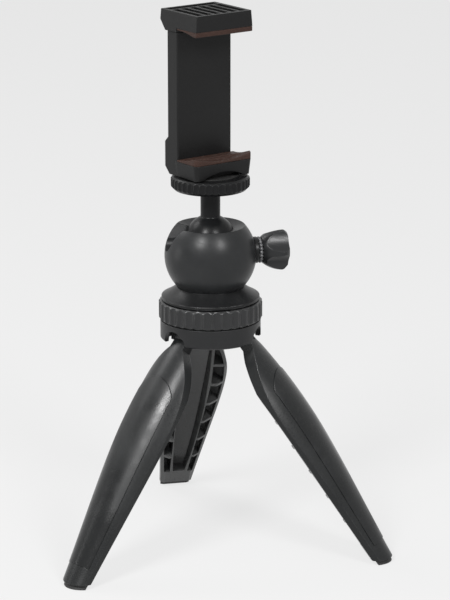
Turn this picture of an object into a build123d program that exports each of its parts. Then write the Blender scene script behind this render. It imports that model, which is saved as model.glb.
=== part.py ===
from build123d import *
import os
from math import cos, radians, sin, sqrt, tan

# Mini tabletop tripod with a ball head and a phone clamp.
# Millimetres, +Z up. The origin lies on the ground on the head's upright axis.
# The ball head's lock knob points along +X, and the first leg stands out along +Y.

# Clearances
running_gap = 0.05
passing_gap = 0.3
press_gap = 0.02

# Base with its three leg hinges
leg_count = 3
first_bearing = 90.0
base_radius = 23.5
base_height = 9.0
base_wall = 2.4
rim_chamfer = 0.6
deck_thickness = 2.0
hub_radius = 8.6
hub_wall = 2.0
cap_thickness = 1.0
hinge_reach = 15.5
hinge_height = 105.5
hinge_rise = 3.0
pin_radius = 1.5
eye_radius = 3.4
tongue_width = 8.4
cheek_thickness = 2.0
slot_width = 14.4
slot_height = 6.5

# Pan joint and its grip ring
boss_radius = 17.0
boss_height = 9.2
boss_wall = 3.0
pan_washer_thickness = 0.6
pan_washer_width = 2.6
bolt_radius = 3.0
bolt_head_radius = 5.0
bolt_head_height = 2.6
bolt_engagement = 6.0
bolt_socket = 2.4
wave_washer_thickness = 1.8
ring_radius = 24.2
ring_height = 9.0
ring_flutes = 34
ring_flute_radius = 2.6
ring_flute_depth = 0.75
ring_chamfer = 1.0

# Ball head
collar_radius = 22.9
collar_edge = 1.3
collar_rise = 5.8
collar_hollow = 30.0
neck_radius = 15.6
neck_height = 0.2
neck_step = 0.3
housing_radius = 21.4
rim_height = 14.2
rim_dish = 1.7
ball_rise = 7.7
ball_radius = 11.6
cup_thickness = 1.65
cup_angle = 25.0
cup_swing = 28.0
swing_margin = 9.0
notch_flare = 2.3
stem_radius = 4.6
stem_fillet = 0.9
stem_length = 24.3
stud_radius = 3.175
stud_sink = 4.0
stud_reach = 10.6
stud_chamfer = 0.6

# Lock screw and knob
lock_rise = 1.0
pad_radius = 2.2
pad_end = 13.3
screw_radius = 2.5
screw_travel = 1.2
insert_radius = 3.4
spot_face = 20.3
knob_washer_radius = 6.2
knob_washer_thickness = 1.7
knob_washer_chamfer = 0.3
bead_ring_radius = 6.2
bead_ring_thickness = 1.9
bead_count = 18
bead_radius = 0.75
knob_root_radius = 6.0
knob_radius = 10.0
knob_end_radius = 9.7
knob_length = 11.9
knob_swell = 9.6
knob_flare = 42.0
knob_chamfer = 1.5
knob_scoops = 5
knob_scoop_radius = 11.0
knob_waist_radius = 7.2

# Lock disc under the clamp
disc_radius = 18.3
disc_thickness = 6.3
disc_top_chamfer = 1.2
disc_bottom_chamfer = 1.6
disc_flutes = 38
disc_flute_radius = 1.9
disc_flute_depth = 0.65
disc_feed = 1.9
disc_insert_radius = 5.5
disc_pad_thickness = 0.5
disc_pad_radius = 13.0

# Phone clamp
clamp_yaw = 23.5
clamp_width = 30.5
column_front = 4.4
column_depth = 8.1
column_wall = 1.8
column_edge = 0.8
jaw_reach = 11.1
jaw_edge = 1.2
lower_jaw_corner = 1.5
lower_jaw_height = 7.1
lower_jaw_flare = 6.5
pad_thickness = 0.8
lip_height = 3.4
lip_width = 2.2
lip_dip = 2.2
upper_lip_height = 2.4
jaw_gap = 56.0
jaw_seat_rise = 1.9
foot_block_depth = 1.9
foot_block_chamfer = 3.4
foot_block_height = 15.0
arch_width = 23.0
arch_height = 3.0
arch_depth = 4.6
jaw_insert_radius = 5.0
jaw_insert_length = 4.2
rear_insert_radius = 4.6
rear_insert_length = 6.5
rear_insert_rise = 8.0
cavity_floor = 14.0
slide_plate_length = 43.0
slide_plate_thickness = 4.0
slide_plate_top = 4.0
slide_window_width = 6.4
slide_window_pitch = 12.0
slide_bridge = 8.0
spring_radius = 2.1
spring_wall = 0.7
jaw_pin_radius = 1.0
jaw_pin_spread = 16.0
cover_screw_head = 1.9
cover_screw_socket = 0.65
cover_screw_depth = 0.8
cover_screw_inset = 3.4
upper_jaw_height = 7.3
upper_jaw_flare = 4.5
upper_jaw_back = 17.3
upper_jaw_drop = 4.5
grille_slots = 6
grille_rib = 1.25
grille_border = 1.7
grille_depth = 4.4
rear_recess_depth = 1.2

# Legs. The skin is the folded leg's outer radius at distances down from its hinge, and
# the inner side is how far it stays from the grip's axis at such distances. The side
# points are half the leg's width there. The leg's end lies under the ground, which cuts it,
# and what stops short of the foot is measured back from that end.
spread_angle = 37.2
skin_centre = 1.0
skin_points = [(0.0, 16.4), (24.0, 18.8), (50.0, 19.0), (76.0, 16.7), (103.0, 13.3)]
inner_points = [(7.3, 12.1), (12.0, 11.0), (20.0, 10.0), (35.0, 8.4), (60.0, 6.0), (95.0, 4.8)]
side_points = [(10.4, 16.5), (14.6, 30.0), (15.5, 48.0), (13.0, 76.0), (9.9, 103.0)]
end_radius = 9.8
end_half_width = 6.9
end_margin = 1.55
side_clearance = 0.15
shoulder_start = 7.3
channel_top = (11.0, 10.6)
channel_middle = (40.0, 13.0)
channel_end_width = 6.0
channel_stop = 22.0
channel_floor = 3.4
pocket_start = 15.0
pocket_pitch = 14.2
pocket_stop = 19.0
pocket_rib = 1.6
pocket_slant = 1.5
pocket_rail = 1.5
pocket_outer_rail = 1.6
panel_half_angle = 36.0
panel_top = 23.0
panel_corner = 32.0
panel_stop = 17.0
panel_sink = 1.0
panel_stand = 0.35
foot_height = 2.0
foot_inset = 1.2
plug_height = 3.5
plug_inset = 1.0

os.makedirs("parts", exist_ok=True)

# Heights and places worked out from the driving sizes
base_bottom = hinge_height - hinge_rise
base_top = base_bottom + base_height
slot_top = base_bottom + slot_height
deck_under = base_top - deck_thickness
ring_bottom = base_top + passing_gap
ring_top = ring_bottom + ring_height
boss_top = base_top + boss_height
collar_bottom = boss_top + pan_washer_thickness + running_gap
collar_top = collar_bottom + collar_rise
neck_top = collar_top + neck_height
housing_centre = neck_top + sqrt(housing_radius**2 - neck_radius**2)
rim_level = housing_centre + rim_height
ball_centre = housing_centre + ball_rise
lock_level = housing_centre + lock_rise
stem_top = ball_centre + stem_length
disc_bottom = stem_top - passing_gap
disc_top = disc_bottom + disc_thickness
clamp_bottom = disc_top + disc_pad_thickness + running_gap
lower_jaw_top = clamp_bottom + lower_jaw_height
lower_lip = lower_jaw_top + lip_height
upper_lip = lower_lip + jaw_gap
upper_pad_seat = upper_lip + upper_lip_height
upper_jaw_bottom = upper_pad_seat - jaw_seat_rise
column_top = upper_jaw_bottom - passing_gap
column_height = column_top - clamp_bottom
upper_jaw_top = upper_pad_seat + upper_jaw_height
column_back = column_front + column_depth
leg_bearings = [first_bearing + 360.0 / leg_count * n for n in range(leg_count)]

# The clamp is swivelled on the stud, so its own planes carry its sketches:
# plan looks down, and profile is its upright fore-and-aft section.
clamp_right = Vector(cos(radians(clamp_yaw)), sin(radians(clamp_yaw)), 0)
clamp_back = Vector(-sin(radians(clamp_yaw)), cos(radians(clamp_yaw)), 0)
plan = Plane(origin=(0, 0, 0), x_dir=clamp_right, z_dir=(0, 0, 1))
profile = Plane(origin=(0, 0, 0), x_dir=clamp_back, z_dir=clamp_right)

pin_length = tongue_width + 2 * (passing_gap + cheek_thickness)


def pin_plane(bearing):
    """The end face of a leg's hinge pin, which runs from here across the leg's slot."""
    turned = Plane.XY.rotated((0, 0, bearing))
    start = turned.x_dir * hinge_reach - turned.y_dir * (pin_length / 2)
    return Plane(
        origin=start + Vector(0, 0, hinge_height), x_dir=turned.x_dir, z_dir=turned.y_dir
    )


# Base housing: a cup with a deck, a hub, hinge cheeks and an arched slot for each leg
with BuildPart() as base_housing:
    with BuildSketch(Plane.XZ):
        with BuildLine():
            Polyline(
                (0, deck_under), (base_radius - base_wall, deck_under),
                (base_radius - base_wall, base_bottom), (base_radius - rim_chamfer, base_bottom),
                (base_radius, base_bottom + rim_chamfer), (base_radius, base_top),
                (boss_radius, base_top), (boss_radius, boss_top),
                (boss_radius - boss_wall, boss_top), (boss_radius - boss_wall, base_top),
                (hub_radius, base_top), (hub_radius, boss_top - passing_gap),
                (0, boss_top - passing_gap), close=True,
            )
        make_face()
    revolve(axis=Axis.Z)
    with BuildSketch(Plane.XY.offset(base_bottom + cap_thickness)):
        Circle(hub_radius)
        Circle(hub_radius - hub_wall, mode=Mode.SUBTRACT)
    extrude(until=Until.NEXT)
    cheek_offset = tongue_width / 2 + passing_gap + cheek_thickness / 2
    cheek_length = base_radius - base_wall / 2 - hub_radius + hub_wall / 2
    cheek_middle = (base_radius - base_wall / 2 + hub_radius - hub_wall / 2) / 2
    with BuildSketch(Plane.XY.offset(base_bottom + cap_thickness)):
        with PolarLocations(cheek_middle, leg_count, start_angle=first_bearing):
            with Locations((0, cheek_offset), (0, -cheek_offset)):
                Rectangle(cheek_length, cheek_thickness)
    extrude(amount=deck_under - base_bottom - cap_thickness)
    for bearing in leg_bearings:
        slot_plane = Plane.XY.rotated((0, 0, bearing))
        outward = slot_plane.x_dir
        slot_start = outward * (hinge_reach + eye_radius)
        with BuildSketch(Plane(origin=slot_start, x_dir=slot_plane.y_dir, z_dir=outward)):
            with Locations((0, slot_top - slot_width / 2)):
                Circle(slot_width / 2)
            with Locations((0, base_bottom)):
                Rectangle(slot_width, 2 * (slot_top - slot_width / 2 - base_bottom))
        extrude(amount=base_radius, mode=Mode.SUBTRACT)
        with BuildSketch(pin_plane(bearing)):
            Circle(pin_radius + press_gap)
        extrude(amount=pin_length, mode=Mode.SUBTRACT)
    with Locations((0, 0, boss_top)):
        Hole(bolt_radius + running_gap)
base_housing.part.label = "base_housing"
export_step(base_housing.part, "parts/base_housing.step")

# Hinge pins: each is pressed into its pair of cheeks, and a leg's eye turns on it
for number, bearing in enumerate(leg_bearings, 1):
    with BuildPart() as leg_pin:
        with BuildSketch(pin_plane(bearing)):
            Circle(pin_radius)
        extrude(amount=pin_length)
    leg_pin.part.label = f"leg_pin_{number}"
    export_step(leg_pin.part, f"parts/leg_pin_{number}.step")

# Base cap: a disc pressed into the hub, which hides the pan bolt's head
with BuildPart() as base_cap:
    with BuildSketch(Plane.XY.offset(base_bottom)):
        Circle(hub_radius)
    extrude(amount=cap_thickness)
    with BuildSketch(Plane.XY.offset(base_bottom + cap_thickness)):
        Circle(hub_radius - hub_wall - press_gap)
    extrude(amount=cap_thickness)
    fillet(base_cap.edges().group_by(Axis.Z)[0], cap_thickness / 2)
base_cap.part.label = "base_cap"
export_step(base_cap.part, "parts/base_cap.step")

# Wave washer under the deck: it keeps the pan joint stiff
with BuildPart() as wave_washer:
    with BuildSketch(Plane.XY.offset(deck_under - wave_washer_thickness)):
        Circle(hub_radius - hub_wall - passing_gap)
        Circle(bolt_radius + passing_gap, mode=Mode.SUBTRACT)
    extrude(amount=wave_washer_thickness)
wave_washer.part.label = "wave_washer"
export_step(wave_washer.part, "parts/wave_washer.step")

# Pan washer: the nylon ring that the head turns on
with BuildPart() as pan_washer:
    with BuildSketch(Plane.XY.offset(boss_top)):
        Circle(boss_radius - passing_gap)
        Circle(boss_radius - passing_gap - pan_washer_width, mode=Mode.SUBTRACT)
    extrude(amount=pan_washer_thickness)
pan_washer.part.label = "pan_washer"
export_step(pan_washer.part, "parts/pan_washer.step")

# Grip ring: turns on the boss, with shallow flutes that run out through its top chamfer
with BuildPart() as pan_ring:
    with BuildSketch(Plane.XY.offset(ring_bottom)):
        Circle(ring_radius)
        Circle(boss_radius + running_gap, mode=Mode.SUBTRACT)
    extrude(amount=ring_height)
    outer_edges = pan_ring.edges().filter_by(GeomType.CIRCLE).group_by(SortBy.RADIUS)[-1]
    chamfer(outer_edges, ring_chamfer)
    with BuildSketch(Plane.XY.offset(ring_bottom)):
        with PolarLocations(ring_radius + ring_flute_radius - ring_flute_depth, ring_flutes):
            Circle(ring_flute_radius)
    extrude(amount=ring_height, mode=Mode.SUBTRACT)
pan_ring.part.label = "pan_ring"
export_step(pan_ring.part, "parts/pan_ring.step")

# Head collar: the flared skirt between the ring and the ball housing
with BuildPart() as head_collar:
    with BuildSketch(Plane.XZ):
        with BuildLine():
            Line((bolt_radius + press_gap, collar_bottom), (collar_radius, collar_bottom))
            Line((collar_radius, collar_bottom), (collar_radius, collar_bottom + collar_edge))
            RadiusArc(
                (collar_radius, collar_bottom + collar_edge),
                (neck_radius + neck_step, collar_top), collar_hollow,
            )
            Polyline(
                (neck_radius + neck_step, collar_top), (bolt_radius + press_gap, collar_top),
                (bolt_radius + press_gap, collar_bottom),
            )
        make_face()
    revolve(axis=Axis.Z)
head_collar.part.label = "head_collar"
export_step(head_collar.part, "parts/head_collar.step")

# Pan bolt: holds the head down on the base and turns with it
bolt_top = collar_top + bolt_engagement
bolt_seat = deck_under - wave_washer_thickness - running_gap
with BuildPart() as pan_bolt:
    with BuildSketch(Plane.XY.offset(bolt_seat)):
        Circle(bolt_radius)
    extrude(amount=bolt_top - bolt_seat)
    with BuildSketch(Plane.XY.offset(bolt_seat - bolt_head_height)):
        Circle(bolt_head_radius)
        RegularPolygon(bolt_socket, 6, mode=Mode.SUBTRACT)
    extrude(amount=bolt_head_height)
pan_bolt.part.label = "pan_bolt"
export_step(pan_bolt.part, "parts/pan_bolt.step")

# Ball housing: a truncated sphere with a rim, a socket for the ball, room for the cup
# below it, a notch on the side away from the knob, and the lock screw's bore
socket_radius = ball_radius + running_gap
cup_radius = ball_radius + cup_thickness
cup_space = cup_radius + running_gap
swing_edge = radians(cup_angle + cup_swing + swing_margin)
shelf_level = ball_centre - cup_space * cos(swing_edge)
shelf_radius = sqrt(socket_radius**2 - (ball_centre - shelf_level) ** 2)
rim_radius = sqrt(housing_radius**2 - rim_height**2)
mouth_level = rim_level - rim_dish
mouth_radius = sqrt(socket_radius**2 - (mouth_level - ball_centre) ** 2)
with BuildPart() as ball_housing:
    with BuildSketch(Plane.XZ):
        with BuildLine():
            Polyline(
                (0, collar_top), (neck_radius, collar_top), (neck_radius, neck_top),
            )
            ThreePointArc(
                (neck_radius, neck_top), (housing_radius, housing_centre),
                (rim_radius, rim_level),
            )
            Line((rim_radius, rim_level), (mouth_radius, mouth_level))
            ThreePointArc(
                (mouth_radius, mouth_level), (socket_radius, ball_centre),
                (shelf_radius, shelf_level),
            )
            Line((shelf_radius, shelf_level), (cup_space * sin(swing_edge), shelf_level))
            ThreePointArc(
                (cup_space * sin(swing_edge), shelf_level),
                (cup_space * sin(swing_edge / 2), ball_centre - cup_space * cos(swing_edge / 2)),
                (0, ball_centre - cup_space),
            )
            Line((0, ball_centre - cup_space), (0, collar_top))
        make_face()
    revolve(axis=Axis.Z)
    notch_half = stem_radius + passing_gap
    with BuildSketch(Plane.YZ):
        with BuildLine():
            ThreePointArc(
                (-notch_half, ball_centre), (0, ball_centre - notch_half), (notch_half, ball_centre),
            )
            Polyline(
                (notch_half, ball_centre), (notch_half + notch_flare, rim_level),
                (notch_half + notch_flare, rim_level + rim_height),
                (-notch_half - notch_flare, rim_level + rim_height),
                (-notch_half - notch_flare, rim_level), (-notch_half, ball_centre),
            )
        make_face()
    extrude(amount=-housing_radius, mode=Mode.SUBTRACT)
    lock_plane = Plane(origin=(0, 0, lock_level), z_dir=(1, 0, 0))
    with BuildSketch(lock_plane):
        Circle(pad_radius + running_gap)
    extrude(amount=spot_face, mode=Mode.SUBTRACT)
    with BuildSketch(lock_plane.offset(pad_end)):
        Circle(screw_radius + running_gap)
    extrude(amount=spot_face - pad_end, mode=Mode.SUBTRACT)
    with BuildSketch(lock_plane.offset(pad_end + screw_travel + passing_gap)):
        Circle(insert_radius)
    extrude(amount=spot_face, mode=Mode.SUBTRACT)
    with BuildSketch(lock_plane.offset(spot_face)):
        Circle(knob_washer_radius + passing_gap)
    extrude(amount=housing_radius, mode=Mode.SUBTRACT)
    with BuildSketch(Plane.XY.offset(collar_top)):
        Circle(bolt_radius + press_gap)
    extrude(amount=bolt_engagement + passing_gap, mode=Mode.SUBTRACT)
ball_housing.part.label = "ball_housing"
export_step(ball_housing.part, "parts/ball_housing.step")

# Ball cup: the friction cup under the ball, which carries its sideways tilt
with BuildPart() as ball_cup:
    with BuildSketch(Plane.XZ):
        with BuildLine():
            edge = radians(cup_angle)
            Line((0, ball_centre - cup_radius), (0, ball_centre - socket_radius))
            ThreePointArc(
                (0, ball_centre - socket_radius),
                (socket_radius * sin(edge / 2), ball_centre - socket_radius * cos(edge / 2)),
                (socket_radius * sin(edge), ball_centre - socket_radius * cos(edge)),
            )
            Line(
                (socket_radius * sin(edge), ball_centre - socket_radius * cos(edge)),
                (cup_radius * sin(edge), ball_centre - cup_radius * cos(edge)),
            )
            ThreePointArc(
                (cup_radius * sin(edge), ball_centre - cup_radius * cos(edge)),
                (cup_radius * sin(edge / 2), ball_centre - cup_radius * cos(edge / 2)),
                (0, ball_centre - cup_radius),
            )
        make_face()
    revolve(axis=Axis.Z)
ball_cup.part.label = "ball_cup"
export_step(ball_cup.part, "parts/ball_cup.step")

# Ball and stem: one turned piece, drilled for the stud
with BuildPart() as ball_stem:
    with Locations((0, 0, ball_centre)):
        Sphere(ball_radius)
    with BuildSketch(Plane.XY.offset(ball_centre)):
        Circle(stem_radius)
    extrude(amount=stem_length)
    stem_rims = ball_stem.edges().filter_by(GeomType.CIRCLE).group_by(SortBy.RADIUS)[0]
    fillet(stem_rims.sort_by(Axis.Z)[0], stem_fillet)
    with BuildSketch(Plane.XY.offset(stem_top)):
        Circle(stud_radius + press_gap)
    extrude(amount=-stud_sink, mode=Mode.SUBTRACT)
ball_stem.part.label = "ball_stem"
export_step(ball_stem.part, "parts/ball_stem.step")

# Stud: the quarter-inch camera thread
with BuildPart() as stud:
    with BuildSketch(Plane.XY.offset(stem_top - stud_sink)):
        Circle(stud_radius)
    extrude(amount=stud_sink + stud_reach)
    chamfer(stud.edges().group_by(Axis.Z)[-1], stud_chamfer)
stud.part.label = "stud"
export_step(stud.part, "parts/stud.step")

# Lock pad: the brass plug that the lock screw presses on the ball
with BuildPart() as lock_pad:
    with BuildSketch(lock_plane):
        Circle(pad_radius)
    extrude(amount=pad_end)
    with Locations((0, 0, ball_centre)):
        Sphere(socket_radius, mode=Mode.SUBTRACT)
lock_pad.part.label = "lock_pad"
export_step(lock_pad.part, "parts/lock_pad.step")

# Lock insert: the threaded brass bush in the housing
insert_start = pad_end + screw_travel + passing_gap
with BuildPart() as lock_insert:
    with BuildSketch(lock_plane.offset(insert_start)):
        Circle(insert_radius - press_gap)
        Circle(screw_radius + running_gap, mode=Mode.SUBTRACT)
    extrude(amount=spot_face - insert_start)
lock_insert.part.label = "lock_insert"
export_step(lock_insert.part, "parts/lock_insert.step")

# Knob washer: the dark collar on the housing's spot face
with BuildPart() as knob_washer:
    with BuildSketch(lock_plane.offset(spot_face)):
        Circle(knob_washer_radius)
        Circle(screw_radius + running_gap, mode=Mode.SUBTRACT)
    extrude(amount=knob_washer_thickness)
    washer_edges = knob_washer.edges().filter_by(GeomType.CIRCLE)
    chamfer(washer_edges.sort_by(Axis.X)[-1:], knob_washer_chamfer)
knob_washer.part.label = "knob_washer"
export_step(knob_washer.part, "parts/knob_washer.step")

# Lock screw: runs from the pad out through the insert into the knob
bead_start = spot_face + knob_washer_thickness + passing_gap
knob_start = bead_start + bead_ring_thickness
knob_end = knob_start + knob_length
with BuildPart() as lock_screw:
    with BuildSketch(lock_plane.offset(pad_end)):
        Circle(screw_radius)
    extrude(amount=knob_start + knob_length / 2 - pad_end)
lock_screw.part.label = "lock_screw"
export_step(lock_screw.part, "parts/lock_screw.step")

# Bead ring: the beaded collar at the root of the knob
with BuildPart() as bead_ring:
    with BuildSketch(lock_plane.offset(bead_start)):
        Circle(bead_ring_radius - bead_radius / 2)
        with PolarLocations(bead_ring_radius - bead_radius, bead_count):
            Circle(bead_radius)
        Circle(screw_radius + press_gap, mode=Mode.SUBTRACT)
    extrude(amount=bead_ring_thickness)
bead_ring.part.label = "bead_ring"
export_step(bead_ring.part, "parts/bead_ring.step")

# Knob: flares from its root and is scooped between five lobes
with BuildPart() as knob:
    knob_profile = Plane(origin=(0, 0, lock_level), x_dir=(1, 0, 0), z_dir=(0, -1, 0))
    with BuildSketch(knob_profile):
        with BuildLine():
            Line((knob_start, 0), (knob_start, knob_root_radius))
            TangentArc(
                (knob_start, knob_root_radius), (knob_start + knob_swell, knob_radius),
                tangent=(cos(radians(knob_flare)), sin(radians(knob_flare))),
            )
            Polyline(
                (knob_start + knob_swell, knob_radius),
                (knob_end - knob_chamfer, knob_end_radius),
                (knob_end, knob_end_radius - knob_chamfer), (knob_end, 0), (knob_start, 0),
            )
        make_face()
    revolve(axis=Axis((0, 0, lock_level), (1, 0, 0)))
    with BuildSketch(lock_plane.offset(knob_start)):
        scoop_start = 90 - 180 / knob_scoops
        with PolarLocations(knob_waist_radius + knob_scoop_radius, knob_scoops, start_angle=scoop_start):
            Circle(knob_scoop_radius)
    extrude(amount=knob_length, mode=Mode.SUBTRACT)
    with BuildSketch(lock_plane.offset(knob_start)):
        Circle(screw_radius + press_gap)
    extrude(amount=knob_length / 2, mode=Mode.SUBTRACT)
knob.part.label = "knob"
export_step(knob.part, "parts/knob.step")

# Lock disc: a knurled nut on the stud, counterbored to clear the stem as it runs down
counterbore = passing_gap + disc_feed + passing_gap
with BuildPart() as lock_disc:
    with BuildSketch(Plane.XY.offset(disc_bottom)):
        Circle(disc_radius)
        Circle(disc_insert_radius, mode=Mode.SUBTRACT)
    extrude(amount=disc_thickness)
    outer_edges = lock_disc.edges().filter_by(GeomType.CIRCLE).group_by(SortBy.RADIUS)[-1]
    chamfer(outer_edges.sort_by(Axis.Z)[:1], disc_bottom_chamfer)
    outer_edges = lock_disc.edges().filter_by(GeomType.CIRCLE).group_by(SortBy.RADIUS)[-1]
    chamfer(outer_edges.sort_by(Axis.Z)[-1:], disc_top_chamfer)
    with BuildSketch(Plane.XY.offset(disc_bottom)):
        with PolarLocations(disc_radius + disc_flute_radius - disc_flute_depth, disc_flutes):
            Circle(disc_flute_radius)
    extrude(amount=disc_thickness, mode=Mode.SUBTRACT)
lock_disc.part.label = "lock_disc"
export_step(lock_disc.part, "parts/lock_disc.step")

# Disc insert: the brass nut pressed into the lock disc
with BuildPart() as disc_insert:
    with BuildSketch(Plane.XY.offset(disc_bottom)):
        Circle(disc_insert_radius - press_gap)
    extrude(amount=disc_thickness)
    with BuildSketch(Plane.XY.offset(disc_bottom)):
        Circle(stem_radius + passing_gap)
    extrude(amount=counterbore, mode=Mode.SUBTRACT)
    with BuildSketch(Plane.XY.offset(disc_bottom)):
        Circle(stud_radius + running_gap)
    extrude(amount=disc_thickness, mode=Mode.SUBTRACT)
disc_insert.part.label = "disc_insert"
export_step(disc_insert.part, "parts/disc_insert.step")

# Disc pad: the rubber ring on top of the disc, which grips the clamp's underside
with BuildPart() as disc_pad:
    with BuildSketch(Plane.XY.offset(disc_top)):
        Circle(disc_pad_radius)
        Circle(disc_insert_radius, mode=Mode.SUBTRACT)
    extrude(amount=disc_pad_thickness)
disc_pad.part.label = "disc_pad"
export_step(disc_pad.part, "parts/disc_pad.step")

# Clamp body: the upright column, the lower jaw and the thick foot behind it
half_width = clamp_width / 2
lower_flare_run = lower_jaw_height * tan(radians(lower_jaw_flare))
lower_half_width = half_width + lower_flare_run
cavity_bottom = clamp_bottom + cavity_floor
rear_insert_level = clamp_bottom + rear_insert_rise
cover_bottom = clamp_bottom + foot_block_height + foot_block_depth
foot_back = column_back + foot_block_depth
plate_front = column_front + column_wall
plate_back = plate_front + slide_plate_thickness + 2 * passing_gap
with BuildPart() as clamp_body:
    with BuildSketch(profile):
        Polygon(
            (column_front, clamp_bottom), (foot_back - foot_block_chamfer, clamp_bottom),
            (foot_back, clamp_bottom + foot_block_chamfer),
            (foot_back, clamp_bottom + foot_block_height), (column_back, cover_bottom),
            (column_back, column_top), (column_front, column_top), align=None,
        )
    extrude(amount=half_width, both=True)
    upright = clamp_body.edges().filter_by(Axis.Z).filter_by(
        lambda line: line.length > column_height / 2
    )
    fillet(upright, column_edge)
    jaw_root = column_front + lower_jaw_corner
    jaw_length = jaw_reach - lower_flare_run + jaw_root
    with BuildSketch(plan.offset(clamp_bottom)):
        with Locations((0, jaw_root - jaw_length / 2)):
            RectangleRounded(clamp_width, jaw_length, lower_jaw_corner)
    extrude(amount=lower_jaw_height, taper=-lower_jaw_flare)
    with BuildSketch(profile):
        Polygon(
            (plate_front, cavity_bottom), (plate_back, cavity_bottom),
            (plate_back, cover_bottom), (column_back, cover_bottom),
            (column_back, column_top), (plate_front, column_top), align=None,
        )
    extrude(amount=half_width - column_wall, both=True, mode=Mode.SUBTRACT)
    arch_sag = (arch_width**2 / 4 + arch_height**2) / (2 * arch_height)
    with BuildSketch(Plane(origin=-clamp_back * jaw_reach, x_dir=clamp_right, z_dir=clamp_back)):
        with Locations((0, -(clamp_bottom + arch_height - arch_sag))):
            Circle(arch_sag)
    extrude(amount=arch_depth, mode=Mode.SUBTRACT)
    with BuildSketch(Plane.XY.offset(clamp_bottom)):
        Circle(jaw_insert_radius)
    extrude(amount=jaw_insert_length, mode=Mode.SUBTRACT)
    with BuildSketch(Plane.XY.offset(clamp_bottom)):
        Circle(stud_radius + passing_gap)
    extrude(amount=stem_top + stud_reach + passing_gap - clamp_bottom, mode=Mode.SUBTRACT)
    rear_plane = Plane(
        origin=clamp_back * foot_back + Vector(0, 0, rear_insert_level),
        x_dir=clamp_right, z_dir=clamp_back,
    )
    with BuildSketch(rear_plane):
        Circle(rear_insert_radius)
    extrude(amount=-rear_insert_length, mode=Mode.SUBTRACT)
clamp_body.part.label = "clamp_body"
export_step(clamp_body.part, "parts/clamp_body.step")

# Back cover: closes the column behind the slide plate, held by four screws
cover_half = half_width - column_wall
cover_levels = (cover_bottom + cover_screw_inset, column_top - cover_screw_inset)
cover_sides = (cover_half - cover_screw_inset, cover_screw_inset - cover_half)
cover_spots = [(side, level) for side in cover_sides for level in cover_levels]
cover_plane = Plane(origin=clamp_back * column_back, x_dir=-clamp_right, z_dir=clamp_back)
with BuildPart() as back_cover:
    with BuildSketch(cover_plane):
        with Locations((0, (cover_bottom + column_top) / 2)):
            Rectangle(2 * cover_half - 2 * press_gap, column_top - cover_bottom - 2 * press_gap)
    extrude(amount=-(column_back - plate_back))
    with BuildSketch(cover_plane):
        with Locations(*cover_spots):
            Circle(cover_screw_head)
    extrude(amount=-cover_screw_depth, mode=Mode.SUBTRACT)
back_cover.part.label = "back_cover"
export_step(back_cover.part, "parts/back_cover.step")

# Cover screws: four screw heads, flush in the back cover
with BuildPart() as cover_screws:
    with BuildSketch(cover_plane):
        with Locations(*cover_spots):
            Circle(cover_screw_head - press_gap)
            Circle(cover_screw_socket, mode=Mode.SUBTRACT)
    extrude(amount=-cover_screw_depth)
cover_screws.part.label = "cover_screws"
export_step(cover_screws.part, "parts/cover_screws.step")

# Threaded inserts: one under the lower jaw for the stud, one in the foot's back
with BuildPart() as jaw_insert:
    with BuildSketch(Plane.XY.offset(clamp_bottom)):
        Circle(jaw_insert_radius - press_gap)
        Circle(stud_radius + running_gap, mode=Mode.SUBTRACT)
    extrude(amount=jaw_insert_length)
jaw_insert.part.label = "jaw_insert"
export_step(jaw_insert.part, "parts/jaw_insert.step")

with BuildPart() as rear_insert:
    with BuildSketch(rear_plane):
        Circle(rear_insert_radius - press_gap)
        Circle(stud_radius, mode=Mode.SUBTRACT)
    extrude(amount=-rear_insert_length)
rear_insert.part.label = "rear_insert"
export_step(rear_insert.part, "parts/rear_insert.step")

# Jaw pads: hooked silicone grips, deepest at the lip and hollowed along it
upper_half_width = half_width + upper_jaw_height * tan(radians(upper_jaw_flare))
dip_radius = (lower_half_width**2 + lip_dip**2) / (2 * lip_dip)
pad_back = column_front - passing_gap
with BuildPart() as lower_pad:
    with BuildSketch(profile):
        with BuildLine():
            Polyline(
                (pad_back, lower_jaw_top + pad_thickness), (pad_back, lower_jaw_top),
                (-jaw_reach, lower_jaw_top), (-jaw_reach, lower_lip),
                (-jaw_reach + lip_width, lower_lip),
            )
            TangentArc(
                (pad_back, lower_jaw_top + pad_thickness),
                (-jaw_reach + lip_width, lower_lip), tangent=(-1, 0),
            )
        make_face()
    extrude(amount=lower_half_width, both=True)
    with BuildSketch(Plane(origin=-clamp_back * jaw_reach, x_dir=clamp_right, z_dir=clamp_back)):
        with Locations((0, -(lower_lip - lip_dip + dip_radius))):
            Circle(dip_radius)
    extrude(amount=2 * lip_width, mode=Mode.SUBTRACT)
    with BuildSketch(plan.offset(lower_jaw_top)):
        with Locations((0, jaw_root - jaw_length / 2)):
            RectangleRounded(
                2 * lower_half_width, jaw_length + 2 * lower_flare_run,
                lower_jaw_corner + lower_flare_run,
            )
    extrude(amount=lip_height, mode=Mode.INTERSECT)
lower_pad.part.label = "lower_pad"
export_step(lower_pad.part, "parts/lower_pad.step")

with BuildPart() as upper_pad:
    with BuildSketch(profile):
        with BuildLine():
            Polyline(
                (pad_back, upper_pad_seat - pad_thickness), (pad_back, upper_pad_seat),
                (-jaw_reach, upper_pad_seat), (-jaw_reach, upper_lip),
                (-jaw_reach + lip_width, upper_lip),
            )
            TangentArc(
                (pad_back, upper_pad_seat - pad_thickness),
                (-jaw_reach + lip_width, upper_lip), tangent=(-1, 0),
            )
        make_face()
    extrude(amount=upper_half_width, both=True)
upper_pad.part.label = "upper_pad"
export_step(upper_pad.part, "parts/upper_pad.step")

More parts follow.
